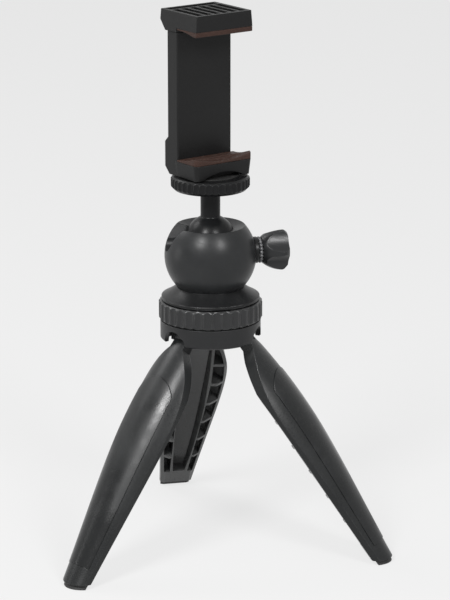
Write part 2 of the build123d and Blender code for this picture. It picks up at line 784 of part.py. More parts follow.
# Upper jaw: a block with a slotted top, a proud back and a socket for the slide plate
plate_middle = (plate_front + plate_back) / 2
plate_width = 2 * (half_width - column_wall - passing_gap)
jaw_pin_length = column_depth
jaw_pin_level = upper_jaw_bottom + slide_plate_top / 2
jaw_pin_spots = [(side * jaw_pin_spread / 2, jaw_pin_level) for side in (1, -1)]
jaw_pin_plane = Plane(
    origin=clamp_back * (column_back + jaw_pin_radius), x_dir=clamp_right, z_dir=-clamp_back
)
with BuildPart() as upper_jaw:
    with BuildSketch(profile):
        Polygon(
            (-jaw_reach, upper_pad_seat), (-jaw_reach, upper_jaw_top),
            (upper_jaw_back, upper_jaw_top), (upper_jaw_back, upper_jaw_top - upper_jaw_drop),
            (column_back + passing_gap, upper_jaw_bottom), (column_front, upper_jaw_bottom),
            (column_front, upper_pad_seat), align=None,
        )
    extrude(amount=base_radius, both=True)
    jaw_height = upper_jaw_top - upper_jaw_bottom
    jaw_spread = 2 * jaw_height * tan(radians(upper_jaw_flare))
    with BuildSketch(plan.offset(upper_jaw_bottom)):
        with Locations((0, (upper_jaw_back - jaw_reach) / 2)):
            RectangleRounded(
                clamp_width + jaw_spread, upper_jaw_back + jaw_reach + jaw_spread, jaw_edge
            )
    extrude(amount=jaw_height, taper=upper_jaw_flare, mode=Mode.INTERSECT)
    slot_pitch = (clamp_width - 2 * grille_border + grille_rib) / grille_slots
    grille_back = column_back - grille_border
    grille_middle = (grille_back - jaw_reach + grille_border) / 2
    top_plane = Plane(origin=(0, 0, upper_jaw_top), x_dir=clamp_right, z_dir=(0, 0, 1))
    with BuildSketch(top_plane):
        with Locations((0, grille_middle)):
            with GridLocations(slot_pitch, 1, grille_slots, 1):
                Rectangle(slot_pitch - grille_rib, grille_back + jaw_reach - grille_border)
    extrude(amount=-grille_depth, mode=Mode.SUBTRACT)
    with BuildSketch(top_plane):
        with Locations((0, (grille_back + upper_jaw_back) / 2)):
            Rectangle(clamp_width - 2 * grille_border, upper_jaw_back - grille_back - 2 * grille_rib)
    extrude(amount=-rear_recess_depth, mode=Mode.SUBTRACT)
    with BuildSketch(plan.offset(upper_jaw_bottom)):
        with Locations((0, plate_middle)):
            Rectangle(plate_width + 2 * press_gap, slide_plate_thickness + 2 * press_gap)
    extrude(amount=slide_plate_top, mode=Mode.SUBTRACT)
    with BuildSketch(jaw_pin_plane):
        with Locations(*jaw_pin_spots):
            Circle(jaw_pin_radius + press_gap)
    extrude(amount=jaw_pin_length, mode=Mode.SUBTRACT)
upper_jaw.part.label = "upper_jaw"
export_step(upper_jaw.part, "parts/upper_jaw.step")

# Slide plate: runs inside the column and carries the upper jaw
plate_top = upper_jaw_bottom + slide_plate_top
window_top = plate_top - slide_plate_top - slide_bridge
with BuildPart() as slide_plate:
    with BuildSketch(plan.offset(upper_jaw_bottom - slide_plate_length)):
        with Locations((0, plate_middle)):
            Rectangle(plate_width, slide_plate_thickness)
    extrude(amount=slide_plate_length + slide_plate_top)
    with BuildSketch(plan.offset(upper_jaw_bottom - slide_plate_length)):
        with Locations((0, plate_middle)):
            with GridLocations(slide_window_pitch, 1, 2, 1):
                Rectangle(slide_window_width, 2 * slide_plate_thickness)
    extrude(amount=window_top - upper_jaw_bottom + slide_plate_length, mode=Mode.SUBTRACT)
    with BuildSketch(jaw_pin_plane):
        with Locations(*jaw_pin_spots):
            Circle(jaw_pin_radius + press_gap)
    extrude(amount=jaw_pin_length, mode=Mode.SUBTRACT)
slide_plate.part.label = "slide_plate"
export_step(slide_plate.part, "parts/slide_plate.step")

with BuildPart() as jaw_pins:
    with BuildSketch(jaw_pin_plane):
        with Locations(*jaw_pin_spots):
            Circle(jaw_pin_radius)
    extrude(amount=jaw_pin_length)
jaw_pins.part.label = "jaw_pins"
export_step(jaw_pins.part, "parts/jaw_pins.step")

# Clamp springs: pull the upper jaw down, from the cavity's floor to the plate's bridge
with BuildPart() as clamp_springs:
    with BuildSketch(plan.offset(cavity_bottom)):
        with Locations((0, plate_middle)):
            with GridLocations(slide_window_pitch, 1, 2, 1):
                Circle(spring_radius)
                Circle(spring_radius - spring_wall, mode=Mode.SUBTRACT)
    extrude(amount=window_top - passing_gap - cavity_bottom)
clamp_springs.part.label = "clamp_springs"
export_step(clamp_springs.part, "parts/clamp_springs.step")


# Legs: each is made folded, hanging beside the axis as a third of a round grip, and is
# then swung out about its hinge to its stop. Depths are distances down from the hinge.
hinge_axis = Axis((hinge_reach, 0, hinge_height), (0, 1, 0))
sector = radians(180 / leg_count)
spread = radians(spread_angle)
half_tongue = tongue_width / 2
shoulder = hinge_height - shoulder_start
leg_length = hinge_height / cos(spread) + end_margin
channel_end = (leg_length - channel_stop, channel_end_width)
panel_end = leg_length - panel_stop
pocket_count = int((leg_length - pocket_stop - pocket_start) / pocket_pitch)


def skin(inset):
    """The folded grip's round body, its surface this far inside the leg's skin."""
    with BuildPart() as body:
        with BuildSketch(Plane.XZ):
            with BuildLine():
                edge = Spline(*[
                    (skin_centre + radius - inset, hinge_height - depth)
                    for depth, radius in (*skin_points, (leg_length, end_radius))
                ])
                Polyline(
                    edge @ 1, (skin_centre, (edge @ 1).Y), (skin_centre, hinge_height), edge @ 0
                )
            make_face()
        revolve(axis=Axis((skin_centre, 0, 0), (0, 0, 1)))
    return body.part


def wedge(inset, half_angle=sector):
    """One leg's share of the grip, its two sides moved in by a distance."""
    apex = skin_centre + inset / sin(half_angle)
    reach = 2 * base_radius
    with BuildPart() as share:
        with BuildSketch(Plane.XY.offset(hinge_height + eye_radius)):
            Polygon(
                (apex, 0), (apex + reach, -reach * tan(half_angle)),
                (apex + reach, reach * tan(half_angle)), align=None,
            )
        extrude(amount=-2 * hinge_height)
    return share.part


def outside(inset):
    """Everything outward of the leg's inner side, which is moved out by a distance."""
    line = [(reach + inset, hinge_height - depth) for depth, reach in inner_points]
    top = hinge_height + eye_radius
    with BuildPart() as body:
        with BuildSketch(Plane.XZ):
            Polygon(
                (line[0][0], top), *line, (line[-1][0], -hinge_height),
                (2 * base_radius, -hinge_height), (2 * base_radius, top), align=None,
            )
        extrude(amount=base_radius, both=True)
    return body.part


def outline(inset):
    """The folded leg's outline seen from its front, its sides moved in by a distance."""
    neck = (half_tongue - inset, shoulder)
    points = (*side_points, (end_half_width, leg_length))
    sides = [(y - inset, hinge_height - depth) for y, depth in points]
    with BuildPart() as body:
        with BuildSketch(Plane.YZ):
            with BuildLine():
                right_side = Spline(neck, *sides)
                left_side = Spline(*[(-y, z) for y, z in (neck, *sides)])
                Polyline(
                    left_side @ 0, (-neck[0], hinge_height), (neck[0], hinge_height),
                    right_side @ 0,
                )
                Line(left_side @ 1, right_side @ 1)
            make_face()
        extrude(amount=2 * base_radius)
    return body.part


def ground_slab(low, high):
    """The layer between two heights over the ground, as the folded leg sees it."""
    foot = Plane(
        origin=(
            hinge_reach - hinge_height * sin(spread), 0, hinge_height - hinge_height * cos(spread)
        ),
        x_dir=(cos(spread), 0, -sin(spread)), z_dir=(sin(spread), 0, cos(spread)),
    )
    with BuildPart() as slab:
        with BuildSketch(foot.offset(low)):
            Rectangle(8 * hinge_height, 4 * base_radius)
        extrude(amount=high - low)
    return slab.part


outer_skin = skin(0)
leg_share = wedge(side_clearance)
leg_inner = outside(0)
leg_outline = outline(0)

# Channel down the leg's inner side, widest under the shoulder
channel_skin = skin(channel_floor)
half_channel = [
    (width / 2, hinge_height - depth)
    for depth, width in (channel_top, channel_middle, channel_end)
]
with BuildPart() as channel:
    with BuildSketch(Plane.YZ):
        with BuildLine():
            right_side = Spline(*half_channel)
            left_side = Spline(*[(-y, z) for y, z in half_channel])
            Line(left_side @ 0, right_side @ 0)
            Line(left_side @ 1, right_side @ 1)
        make_face()
    extrude(amount=base_radius)
    add(channel_skin, mode=Mode.INTERSECT)

# Ladder of open pockets on both sides of the channel, moulded in from the inner side
pocket_skin = skin(pocket_outer_rail)
pocket_outline = outline(pocket_outer_rail)


def rail_side(depth):
    """How far from the leg's middle the pockets begin at a depth."""
    low, high = (channel_top, channel_middle) if depth < channel_middle[0] else (
        channel_middle, channel_end
    )
    part_way = (depth - low[0]) / (high[0] - low[0])
    return (low[1] + part_way * (high[1] - low[1])) / 2 + pocket_rail


with BuildPart() as pockets:
    for number in range(pocket_count):
        top = pocket_start + number * pocket_pitch
        bottom = top + pocket_pitch - pocket_rib
        with BuildSketch(Plane.YZ):
            for side in (1, -1):
                Polygon(
                    (side * rail_side(top), hinge_height - top),
                    (side * base_radius, hinge_height - top - pocket_slant),
                    (side * base_radius, hinge_height - bottom - pocket_slant),
                    (side * rail_side(bottom), hinge_height - bottom), align=None,
                )
        extrude(amount=base_radius)
    add(pocket_skin, mode=Mode.INTERSECT)
    add(pocket_outline, mode=Mode.INTERSECT)

# Soft panel that lies in a shallow recess of the leg's outer skin
panel_share = wedge(0, radians(panel_half_angle))
panel_floor = skin(panel_sink)
panel_skin = skin(-panel_stand)
with BuildPart() as panel_outline:
    with BuildSketch(Plane.YZ):
        with BuildLine():
            ThreePointArc(
                (-base_radius / 2, hinge_height - panel_corner),
                (0, hinge_height - panel_top),
                (base_radius / 2, hinge_height - panel_corner),
            )
            Polyline(
                (base_radius / 2, hinge_height - panel_corner),
                (base_radius / 2, hinge_height - panel_end),
                (-base_radius / 2, hinge_height - panel_end),
                (-base_radius / 2, hinge_height - panel_corner),
            )
        make_face()
    extrude(amount=base_radius)
    add(panel_share, mode=Mode.INTERSECT)
    add(panel_floor, mode=Mode.SUBTRACT)

with BuildPart() as folded_panel:
    add(panel_outline.part)
    add(panel_skin, mode=Mode.INTERSECT)

foot_room = ground_slab(-hinge_height, foot_height)

# Leg frame: the grip's third with a rounded shoulder, a hinge eye and the cuts above
with BuildPart() as folded_frame:
    add(outer_skin)
    add(leg_share, mode=Mode.INTERSECT)
    add(leg_outline, mode=Mode.INTERSECT)
    add(leg_inner, mode=Mode.INTERSECT)
    with BuildSketch(Plane.XZ.offset(-half_tongue)):
        with Locations((hinge_reach, hinge_height)):
            Circle(eye_radius)
    extrude(amount=tongue_width)
    add(channel.part, mode=Mode.SUBTRACT)
    add(pockets.part, mode=Mode.SUBTRACT)
    add(panel_outline.part, mode=Mode.SUBTRACT)
    add(foot_room, mode=Mode.SUBTRACT)
    with BuildSketch(Plane.XZ.offset(-half_tongue)):
        with Locations((hinge_reach, hinge_height)):
            Circle(pin_radius + running_gap)
    extrude(amount=tongue_width, mode=Mode.SUBTRACT)


def foot_layer(inset, low, high):
    """A slice of the leg between two heights over the ground, smaller all round."""
    solid = skin(inset) & wedge(side_clearance + inset) & outside(inset)
    return solid & ground_slab(low, high)


# Rubber foot: a slice of the leg's own outline, plugged into the frame's end
plug_side = foot_inset + plug_inset
folded_foot = foot_layer(foot_inset, 0, foot_height) + foot_layer(
    plug_side, foot_height, foot_height + plug_height
)
plug_socket = foot_layer(plug_side - press_gap, 0, foot_height + plug_height + press_gap)


def opened(piece, bearing):
    """A folded piece swung out to its stop and turned to its leg's bearing."""
    return piece.rotate(hinge_axis, -spread_angle).rotate(Axis.Z, bearing)


for number, bearing in enumerate(leg_bearings, 1):
    leg_frame = opened(folded_frame.part - plug_socket, bearing)
    leg_frame.label = f"leg_frame_{number}"
    export_step(leg_frame, f"parts/leg_frame_{number}.step")
    leg_panel = opened(folded_panel.part, bearing)
    leg_panel.label = f"leg_panel_{number}"
    export_step(leg_panel, f"parts/leg_panel_{number}.step")
    leg_foot = opened(folded_foot, bearing)
    leg_foot.label = f"leg_foot_{number}"
    export_step(leg_foot, f"parts/leg_foot_{number}.step")
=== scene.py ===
import bpy
from math import cos, pi, radians, sin
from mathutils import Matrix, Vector


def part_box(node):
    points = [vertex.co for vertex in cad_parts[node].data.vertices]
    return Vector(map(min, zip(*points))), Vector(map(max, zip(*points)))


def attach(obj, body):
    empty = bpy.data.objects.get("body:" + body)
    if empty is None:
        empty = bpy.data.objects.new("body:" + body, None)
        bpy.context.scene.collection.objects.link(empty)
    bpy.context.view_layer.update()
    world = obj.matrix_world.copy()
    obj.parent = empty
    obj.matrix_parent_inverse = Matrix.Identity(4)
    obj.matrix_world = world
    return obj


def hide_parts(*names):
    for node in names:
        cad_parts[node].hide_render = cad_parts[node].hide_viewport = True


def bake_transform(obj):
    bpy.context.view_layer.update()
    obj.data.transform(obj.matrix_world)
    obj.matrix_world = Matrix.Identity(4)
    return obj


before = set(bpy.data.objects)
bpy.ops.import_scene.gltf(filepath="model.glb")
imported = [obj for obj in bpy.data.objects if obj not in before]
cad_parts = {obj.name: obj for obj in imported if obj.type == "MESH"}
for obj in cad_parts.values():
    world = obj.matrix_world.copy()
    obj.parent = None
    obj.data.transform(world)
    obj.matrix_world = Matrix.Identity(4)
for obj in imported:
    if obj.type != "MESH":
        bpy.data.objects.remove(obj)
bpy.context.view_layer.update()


# Base housing, its cap and the grip ring: the hub that the legs hinge on.
# Injection moulded in black nylon with a fine spark-eroded grain, the edges left slightly soft
# by the mould and painted lighter, partly for rubbing by hands and bags, partly as painted
# highlight.
def new_group(name, inputs, outputs):
    """A node group with the sockets that the two lists give."""
    group = bpy.data.node_groups.new(name, "ShaderNodeTree")
    for label, kind, value in inputs:
        socket = group.interface.new_socket(name=label, in_out="INPUT", socket_type=kind)
        socket.default_value = value
    for label, kind in outputs:
        group.interface.new_socket(name=label, in_out="OUTPUT", socket_type=kind)
    return group, group.nodes.new("NodeGroupInput"), group.nodes.new("NodeGroupOutput")


def own_place(tree):
    """Where a point lies on its own piece, in metres."""
    return tree.nodes.new("ShaderNodeTexCoord").outputs["Object"]


def noise(tree, place, size, detail=2.0):
    """Noise whose blobs are about this many metres across."""
    node = tree.nodes.new("ShaderNodeTexNoise")
    node.inputs["Scale"].default_value = 0.5 / size
    node.inputs["Detail"].default_value = detail
    tree.links.new(place, node.inputs["Vector"])
    return node.outputs["Fac"]


def between(tree, value, low, high, start=0.0, end=1.0):
    """Runs from start to end while a value runs from low to high."""
    node = tree.nodes.new("ShaderNodeMapRange")
    tree.links.new(value, node.inputs["Value"])
    node.inputs["From Min"].default_value = low
    node.inputs["From Max"].default_value = high
    node.inputs["To Min"].default_value = start
    node.inputs["To Max"].default_value = end
    return node.outputs["Result"]


def figure(tree, operation, first, second):
    """One sum with two terms, each a number or a socket."""
    node = tree.nodes.new("ShaderNodeMath")
    node.operation = operation
    for socket, value in zip(node.inputs, (first, second)):
        if isinstance(value, (int, float)):
            socket.default_value = value
        else:
            tree.links.new(value, socket)
    return node.outputs[0]


def tint(tree, share, first, second, blend="MIX"):
    """A colour that goes from the first to the second by a share."""
    node = tree.nodes.new("ShaderNodeMix")
    node.data_type = "RGBA"
    node.blend_type = blend
    factor, colour_a, colour_b = node.inputs[0], node.inputs[6], node.inputs[7]
    for socket, value in ((factor, share), (colour_a, first), (colour_b, second)):
        if isinstance(value, (int, float, tuple)):
            socket.default_value = value
        else:
            tree.links.new(value, socket)
    return node.outputs[2]


plain_black = (0.02, 0.02, 0.02, 1)
moulded_skin, skin_in, skin_out = new_group(
    "moulded skin",
    [("Colour", "NodeSocketColor", plain_black), ("Gloss", "NodeSocketFloat", 0.4),
     ("Grain", "NodeSocketFloat", 1500.0), ("Flow", "NodeSocketFloat", 0.12)],
    [("Colour", "NodeSocketColor"), ("Roughness", "NodeSocketFloat"),
     ("Height", "NodeSocketFloat")],
)
skin_place = own_place(moulded_skin)
grain = moulded_skin.nodes.new("ShaderNodeTexNoise")
grain.inputs["Detail"].default_value = 3.0
moulded_skin.links.new(skin_place, grain.inputs["Vector"])
moulded_skin.links.new(skin_in.outputs["Grain"], grain.inputs["Scale"])
pits_per_grain = 0.7
pits = moulded_skin.nodes.new("ShaderNodeTexVoronoi")
moulded_skin.links.new(skin_place, pits.inputs["Vector"])
pit_scale = figure(moulded_skin, "MULTIPLY", skin_in.outputs["Grain"], pits_per_grain)
moulded_skin.links.new(pit_scale, pits.inputs["Scale"])
flow_size = 0.012
flow_mark = noise(moulded_skin, skin_place, flow_size, detail=3.0)
cloud = between(moulded_skin, flow_mark, 0.35, 0.65, -1.0, 1.0)
shade = figure(moulded_skin, "MULTIPLY", cloud, skin_in.outputs["Flow"])
speck = between(moulded_skin, grain.outputs["Fac"], 0.52, 0.68, 0.0, 0.5)
paler = figure(moulded_skin, "ADD", speck, shade)
lightening = (1.6, 1.6, 1.6, 1)
lighter = tint(moulded_skin, 1.0, skin_in.outputs["Colour"], lightening, "MULTIPLY")
grained = tint(moulded_skin, paler, skin_in.outputs["Colour"], lighter)
moulded_skin.links.new(grained, skin_out.inputs["Colour"])
flow_roughness = 0.35
flow_gloss = figure(moulded_skin, "MULTIPLY", shade, flow_roughness)
fine_gloss = between(moulded_skin, grain.outputs["Fac"], 0.3, 0.7, -0.04, 0.04)
uneven = figure(moulded_skin, "ADD", flow_gloss, fine_gloss)
skin_gloss = figure(moulded_skin, "ADD", skin_in.outputs["Gloss"], uneven)
moulded_skin.links.new(skin_gloss, skin_out.inputs["Roughness"])
pit_depth = between(moulded_skin, pits.outputs["Distance"], 0.0, 0.6, 0.0, 0.6)
relief = figure(moulded_skin, "ADD", grain.outputs["Fac"], pit_depth)
moulded_skin.links.new(relief, skin_out.inputs["Height"])

# Edges: the bevel softens their normal, and their colour is painted lighter by the share given,
# partly as rubbing and partly as a painted highlight.
soft_edge, edge_in, edge_out = new_group(
    "soft rubbed and glinting edge",
    [("Colour", "NodeSocketColor", plain_black),
     ("Rubbed", "NodeSocketColor", (0.1, 0.1, 0.1, 1)),
     ("Radius", "NodeSocketFloat", 0.0004), ("Wear", "NodeSocketFloat", 0.4)],
    [("Colour", "NodeSocketColor"), ("Normal", "NodeSocketVector"),
     ("Corner", "NodeSocketFloat")],
)
rounding = soft_edge.nodes.new("ShaderNodeBevel")
rounding.samples = 6
soft_edge.links.new(edge_in.outputs["Radius"], rounding.inputs["Radius"])
flat = soft_edge.nodes.new("ShaderNodeNewGeometry")
turned = soft_edge.nodes.new("ShaderNodeVectorMath")
turned.operation = "DOT_PRODUCT"
soft_edge.links.new(rounding.outputs["Normal"], turned.inputs[0])
soft_edge.links.new(flat.outputs["Normal"], turned.inputs[1])
corner = between(soft_edge, turned.outputs["Value"], 0.995, 0.80)
rub_size = 0.003
rub_mark = noise(soft_edge, own_place(soft_edge), rub_size)
patchy = between(soft_edge, rub_mark, 0.40, 0.62)
worn_and_glinting_corner = figure(soft_edge, "MULTIPLY", corner, patchy)
rub_and_glint = figure(soft_edge, "MULTIPLY", worn_and_glinting_corner, edge_in.outputs["Wear"])
edge_colour = tint(soft_edge, rub_and_glint, edge_in.outputs["Colour"], edge_in.outputs["Rubbed"])
soft_edge.links.new(edge_colour, edge_out.inputs["Colour"])
soft_edge.links.new(rounding.outputs["Normal"], edge_out.inputs["Normal"])
soft_edge.links.new(corner, edge_out.inputs["Corner"])

settled_dust, dust_in, dust_out = new_group(
    "settled dust",
    [("Colour", "NodeSocketColor", plain_black), ("Amount", "NodeSocketFloat", 0.05)],
    [("Colour", "NodeSocketColor")],
)
dusted_face = settled_dust.nodes.new("ShaderNodeNewGeometry")
dust_normal = settled_dust.nodes.new("ShaderNodeSeparateXYZ")
settled_dust.links.new(dusted_face.outputs["Normal"], dust_normal.inputs[0])
facing_up = between(settled_dust, dust_normal.outputs["Z"], 0.2, 1.0)
speck_size = 0.0007
dust_mark = noise(settled_dust, own_place(settled_dust), speck_size, detail=4.0)
specks = between(settled_dust, dust_mark, 0.54, 0.80)
lying = figure(settled_dust, "MULTIPLY", facing_up, specks)
dusty = figure(settled_dust, "MULTIPLY", lying, dust_in.outputs["Amount"])
dust_colour = (0.30, 0.29, 0.27, 1)
with_dust = tint(settled_dust, dusty, dust_in.outputs["Colour"], dust_colour)
settled_dust.links.new(with_dust, dust_out.inputs["Colour"])


def placed_group(tree, group, **values):
    """A group's node in a material, with values of its own."""
    node = tree.nodes.new("ShaderNodeGroup")
    node.node_tree = group
    for label, value in values.items():
        node.inputs[label].default_value = value
    return node


def new_material(name):
    """A material, its node tree and its shader."""
    material = bpy.data.materials.new(name)
    material.use_nodes = True
    tree = material.node_tree
    return material, tree, tree.nodes["Principled BSDF"]


def bumped(tree, shader, height, distance, strength, normal=None):
    """Lets a height bend the light, over a softened normal where one is given."""
    bump = tree.nodes.new("ShaderNodeBump")
    bump.inputs["Distance"].default_value = distance
    bump.inputs["Strength"].default_value = strength
    tree.links.new(height, bump.inputs["Height"])
    if normal is not None:
        tree.links.new(normal, bump.inputs["Normal"])
    tree.links.new(bump.outputs["Normal"], shader.inputs["Normal"])


rubbed_and_glint_base = 0.05
rubbed_and_glint_gain = 1.6
skin_relief = 0.0002


def plastic(
    name, colour, gloss, grain=1500.0, depth=0.05, shine=0.35, edge=0.0004, wear_and_glint=0.35,
    dust=0.06, polish=0.0, flow=0.12,
):
    """A moulded plastic: its grain, its soft and polished edges painted lighter as rubbing and
    as a painted highlight, and a trace of dust.
    """
    material, tree, shader = new_material(name)
    shader.inputs["Specular IOR Level"].default_value = shine
    surface = placed_group(
        tree, moulded_skin, Colour=(*colour, 1), Gloss=gloss, Grain=grain, Flow=flow
    )
    # Edges are painted this lighter colour: partly rubbing, partly a painted highlight.
    rubbed_and_glint = tuple(rubbed_and_glint_base + rubbed_and_glint_gain * part for part in colour)
    edges = placed_group(tree, soft_edge, Rubbed=(*rubbed_and_glint, 1), Radius=edge, Wear=wear_and_glint)
    dusted = placed_group(tree, settled_dust, Amount=dust)
    tree.links.new(surface.outputs["Colour"], edges.inputs["Colour"])
    tree.links.new(edges.outputs["Colour"], dusted.inputs["Colour"])
    tree.links.new(dusted.outputs["Colour"], shader.inputs["Base Color"])
    polished = figure(tree, "MULTIPLY", edges.outputs["Corner"], polish)
    roughness = figure(tree, "SUBTRACT", surface.outputs["Roughness"], polished)
    tree.links.new(roughness, shader.inputs["Roughness"])
    bumped(
        tree, shader, surface.outputs["Height"], skin_relief, depth, edges.outputs["Normal"]
    )
    return material


def finish_nodes(material, *nodes):
    """Gives a material to nodes of the frame."""
    for node in nodes:
        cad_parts[node].material_slots[0].material = material


hub_black = (0.0085, 0.0088, 0.0093)
shell_plastic = plastic("shell plastic", hub_black, 0.40, grain=1600.0, depth=0.07, shine=0.3)
finish_nodes(shell_plastic, "base_housing", "base_cap")
# The ring's edges are painted lighter, mostly as a painted highlight on the corners of its
# flutes.
ring_plastic = plastic(
    "ring plastic", hub_black, 0.33, grain=1900.0, shine=0.42, edge=0.0009, wear_and_glint=0.9,
    polish=0.24,
)
finish_nodes(ring_plastic, "pan_ring")


# Hinge pins: hardened steel dowels pressed across each leg's pair of cheeks.
# Centreless ground to a fine and even finish, with faint darker stains.
line_size = 0.00012
line_relief = 0.0001
stain_size = 0.004
stain_shade = 0.72


def metal(name, colour, gloss, lines=(1.0, 1.0, 1.0), depth=0.04):
    """A machined metal: fine lines drawn along the axes whose stretch is small."""
    material, tree, shader = new_material(name)
    shader.inputs["Metallic"].default_value = 1.0
    place = own_place(tree)
    stretch = tree.nodes.new("ShaderNodeMapping")
    stretch.inputs["Scale"].default_value = lines
    tree.links.new(place, stretch.inputs["Vector"])
    lathe = noise(tree, stretch.outputs["Vector"], line_size, detail=3.0)
    stain = between(tree, noise(tree, place, stain_size, detail=3.0), 0.35, 0.7)
    darker = tuple(stain_shade * part for part in colour)
    stained = tint(tree, stain, (*colour, 1), (*darker, 1))
    tree.links.new(stained, shader.inputs["Base Color"])
    roughness = between(tree, lathe, 0.25, 0.75, gloss - 0.08, gloss + 0.10)
    tree.links.new(roughness, shader.inputs["Roughness"])
    bumped(tree, shader, lathe, line_relief, depth)
    return material


ground_steel = metal("ground steel", (0.56, 0.57, 0.59), 0.28)
finish_nodes(ground_steel, "leg_pin_1", "leg_pin_2", "leg_pin_3")

# Pan joint: a bolt under the base's cap pulls the head down through a wavy spring
# washer, and the head turns on a slippery ring. The washer is stamped spring strip,
# pressed into three waves; the ring is turned from dark acetal.
turned_steel = metal("turned steel", (0.50, 0.51, 0.53), 0.30, lines=(0.08, 0.08, 1.0))
finish_nodes(turned_steel, "pan_bolt")
acetal = plastic(
    "acetal", (0.030, 0.030, 0.031), 0.30, grain=900.0, depth=0.02, shine=0.45, wear_and_glint=0.1,
    dust=0.02,
)
finish_nodes(acetal, "pan_washer", "ball_cup", "lock_pad")


def settle():
    """Applies the chosen pieces' place, turn and size to their meshes."""
    bpy.ops.object.transform_apply(location=True, rotation=True, scale=True)


def open_mesh(action="SELECT"):
    """Enters edit mode with all of the mesh selected, or with none of it."""
    bpy.ops.object.mode_set(mode="EDIT")
    bpy.ops.mesh.select_all(action=action)


def close_mesh():
    """Leaves edit mode."""
    bpy.ops.object.mode_set(mode="OBJECT")


def face_outwards():
    """Turns all faces of a closed mesh outwards."""
    open_mesh()
    bpy.ops.mesh.normals_make_consistent(inside=False)
    close_mesh()


washer_low, washer_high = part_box("wave_washer")
washer_outer = (washer_high.x - washer_low.x) / 2
washer_inner = 0.0033
washer_clearance = 0.00005
washer_strip = 0.0005
washer_waves = 3
washer_sides = 96
washer_rings = 4
washer_width = washer_outer - washer_inner
wave_rise = washer_high.z - washer_low.z - washer_strip
bpy.ops.object.select_all(action="DESELECT")
bpy.ops.mesh.primitive_circle_add(
    vertices=washer_sides, radius=washer_outer - washer_clearance,
    location=(0, 0, washer_low.z + washer_strip / 2),
)
wavy_washer = bpy.context.object
wavy_washer.name = "wavy_washer"
open_mesh()
for step in range(washer_rings):
    wide = washer_outer - washer_width * step / washer_rings
    narrow = washer_outer - washer_width * (step + 1) / washer_rings
    bpy.ops.mesh.extrude_edges_move()
    bpy.ops.transform.resize(value=(narrow / wide, narrow / wide, 1))
close_mesh()
settle()
for step in range(washer_sides):
    bearing = 2 * pi * step / washer_sides
    ray = Vector((cos(bearing), sin(bearing)))
    open_mesh("DESELECT")
    close_mesh()
    for vertex in wavy_washer.data.vertices:
        vertex.select = vertex.co.xy.normalized().dot(ray) > cos(pi / washer_sides)
    bpy.ops.object.mode_set(mode="EDIT")
    bpy.ops.transform.translate(value=(0, 0, wave_rise * (1 - cos(washer_waves * bearing)) / 2))
    close_mesh()
strip = wavy_washer.modifiers.new("strip", "SOLIDIFY")
strip.thickness = washer_strip
strip.offset = 0
bpy.ops.object.modifier_apply(modifier="strip")
face_outwards()
bpy.ops.object.shade_smooth_by_angle(angle=radians(35))
spring_steel = metal("spring steel", (0.30, 0.31, 0.33), 0.30, lines=(1.0, 1.0, 0.2))
wavy_washer.data.materials.append(spring_steel)
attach(wavy_washer, "base")
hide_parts("wave_washer")


# Ball housing with its collar: cast zinc under a smooth black coat. The coat follows the
# casting's faint waviness, has a few fine swirls from wiping, and shines where it runs
# over the edges, whose colour is also painted lighter as a painted highlight.
peel_size = 0.0022
peel_relief = 0.0003
bloom_size = 0.010
bloom_gain = 1.5
# Edge colour of the coats: painted lighter, partly rubbing and partly a painted highlight.
coat_rubbed_and_glint = (0.09, 0.09, 0.092, 1)
coat_dust = 0.02


def coated(
    name, colour, gloss, waviness=0.004, edge=0.0003, wear_and_glint=0.15, shine=0.22, polish=0.0
):
    """A smooth black coat: faint waviness, fine swirls and soft edges painted bright as a
    painted highlight.
    """
    material, tree, shader = new_material(name)
    shader.inputs["Specular IOR Level"].default_value = shine
    place = own_place(tree)
    swirls = tree.nodes.new("ShaderNodeTexWave")
    swirls.wave_type = "RINGS"
    for label, value in (("Scale", 60.0), ("Distortion", 22.0), ("Detail", 4.0)):
        swirls.inputs[label].default_value = value
    tree.links.new(place, swirls.inputs["Vector"])
    orange_peel = noise(tree, place, peel_size)
    bloom = noise(tree, place, bloom_size, detail=3.0)
    edges = placed_group(tree, soft_edge, Rubbed=coat_rubbed_and_glint, Radius=edge, Wear=wear_and_glint)
    dusted = placed_group(tree, settled_dust, Amount=coat_dust)
    cloudy = tuple(bloom_gain * part for part in colour)
    bloomed = tint(tree, between(tree, bloom, 0.35, 0.70), (*colour, 1), (*cloudy, 1))
    tree.links.new(bloomed, edges.inputs["Colour"])
    tree.links.new(edges.outputs["Colour"], dusted.inputs["Colour"])
    tree.links.new(dusted.outputs["Colour"], shader.inputs["Base Color"])
    wiped = figure(
        tree, "ADD", between(tree, bloom, 0.3, 0.7, gloss - 0.02, gloss + 0.03),
        between(tree, swirls.outputs["Fac"], 0.80, 1.0, 0.0, 0.05),
    )
    polished = figure(tree, "MULTIPLY", edges.outputs["Corner"], polish)
    tree.links.new(figure(tree, "SUBTRACT", wiped, polished), shader.inputs["Roughness"])
    bumped(tree, shader, orange_peel, peel_relief, waviness, edges.outputs["Normal"])
    return material


housing_coat = coated("housing coat", (0.0110, 0.0115, 0.0120), 0.34, edge=0.0005, polish=0.12)
# The collar's edges are painted fully lighter, as a painted highlight along its rim.
collar_coat = coated(
    "collar coat", (0.0060, 0.0062, 0.0065), 0.34, edge=0.0007, wear_and_glint=1.0, shine=0.2, polish=0.2
)
finish_nodes(housing_coat, "ball_housing")
finish_nodes(collar_coat, "head_collar", "knob_washer")

# Ball and stem: turned in one piece and polished under the same black coat, so that
# the ball has a sharper light than the housing round it.
ball_coat = coated("ball coat", (0.0048, 0.0050, 0.0053), 0.28, waviness=0.002, shine=0.14)
finish_nodes(ball_coat, "ball_stem")

# Stud: the quarter-inch camera screw in the stem's top, twenty turns to the inch.
# Cut from bright steel, so the thread's flanks catch the light one by one.
thread_root = 0.86
thread_flank = 0.42
thread_crest = 0.16
thread_sides = 40
thread_end_gap = 0.0001


